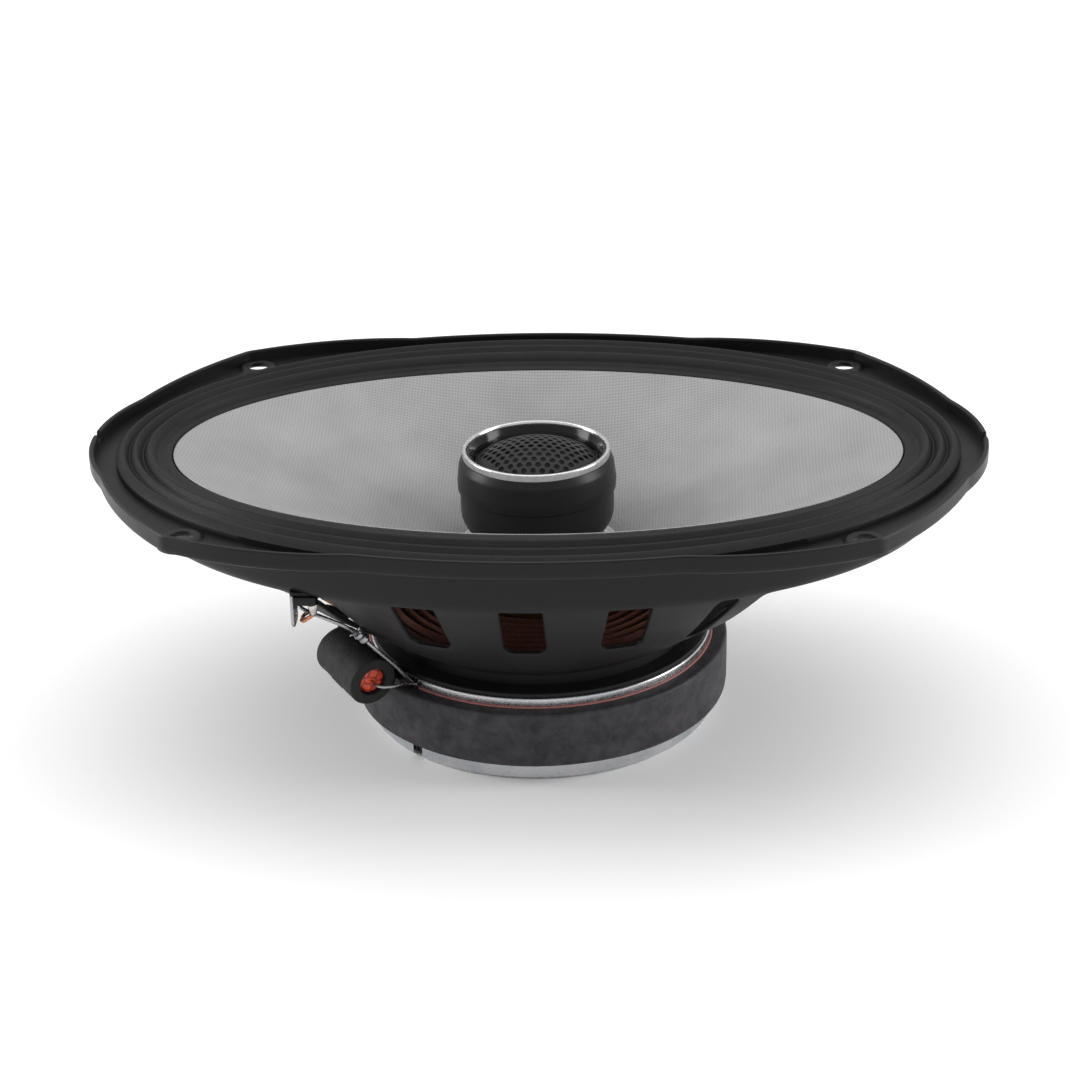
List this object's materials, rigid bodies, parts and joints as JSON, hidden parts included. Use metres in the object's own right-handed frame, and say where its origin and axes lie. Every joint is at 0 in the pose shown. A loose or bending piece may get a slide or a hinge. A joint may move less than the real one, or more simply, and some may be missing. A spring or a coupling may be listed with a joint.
{
  "type": "coaxial car speaker",
  "caption": "Oval two-way coaxial car loudspeaker: stamped frame, woven cone in a rubber surround, post-mounted dome tweeter, booted ring magnet.",
  "frame": {"origin": "on the speaker's axis, in the plane of the back plate's underside", "axes": "+Z out of the cone, X along the oval, Y across it"},
  "size_m": [0.235, 0.159, 0.0767],
  "materials": {
    "frame_paint": "satin black powder coat",
    "rivet_steel": "plain steel",
    "surround_rubber": "matt black moulded rubber",
    "spider_cloth": "resin dipped corrugated cloth",
    "zinc_plate": "bright zinc plate",
    "ferrite": "sintered ferrite",
    "boot_rubber": "matt dark grey moulded rubber",
    "pink_adhesive": "thin line of adhesive",
    "black_plastic": "satin black moulded plastic",
    "copper_braid": "braided copper",
    "board_plastic": "black board",
    "tinned_metal": "tinned",
    "solder": "dull solder over copper",
    "capacitor_resin": "orange red potting resin",
    "sleeve_foam": "black foam sleeve",
    "black_glue": "set hot glue",
    "wire_cover": "black wire cover",
    "trim_silver": "bright turned",
    "bezel_plastic": "gloss black",
    "grille_paint": "black painted steel mesh",
    "dome_silk": "coated silk",
    "neodymium": "nickel plated",
    "tag_brass": "plain brass",
    "cone_weave": "silver grey woven glass fibre",
    "collar_resin": "clear adhesive fillet",
    "former_film": "amber film",
    "copper_wire": "enamelled copper"
  },
  "bodies": {
    "frame": {"basket": "frame_paint", "basket_rivets": "rivet_steel", "surround": "surround_rubber", "spider": "spider_cloth", "t_yoke": "zinc_plate", "magnet": "ferrite", "top_plate": "zinc_plate", "magnet_boot": "boot_rubber", "boot_adhesive": "pink_adhesive", "post": "black_plastic", "post_nut": "rivet_steel", "tinsel_leads": "copper_braid", "terminal_board": "board_plastic", "positive_terminal": "tinned_metal", "negative_terminal": "tinned_metal", "terminal_rivets": "rivet_steel", "solder_joints": "solder", "capacitor": "capacitor_resin", "capacitor_sleeve": "sleeve_foam", "capacitor_glue": "black_glue", "capacitor_input_lead": "wire_cover", "capacitor_output_lead": "tinned_metal", "tweeter_wires": "wire_cover", "lead_crimp": "tinned_metal", "tweeter_housing": "black_plastic", "trim_ring": "trim_silver", "tweeter_bezel": "bezel_plastic", "tweeter_grille": "grille_paint", "tweeter_suspension": "dome_silk", "tweeter_cup": "zinc_plate", "tweeter_magnet": "neodymium", "tweeter_pole_plate": "zinc_plate", "tweeter_tags": "tag_brass"},
    "cone_assembly": {"cone": "cone_weave", "cone_collar": "collar_resin", "coil_former": "former_film", "coil_winding": "copper_wire", "lead_eyelets": "tinned_metal"},
    "tweeter_diaphragm": {"tweeter_dome": "dome_silk", "tweeter_coil": "copper_wire"}
  },
  "joints": [
    {"name": "cone_travel", "type": "slide", "parent": "frame", "child": "cone_assembly", "axis": [0, 0, 1], "range_m": [-0.004, 0.004], "stiffness_N_per_m": 2000, "deforming": ["surround", "spider", "tinsel_leads"]},
    {"name": "tweeter_dome_travel", "type": "slide", "parent": "frame", "child": "tweeter_diaphragm", "axis": [0, 0, 1], "range_m": [-0.0003, 0.0003], "stiffness_N_per_m": 3000, "deforming": ["tweeter_suspension"]}
  ]
}
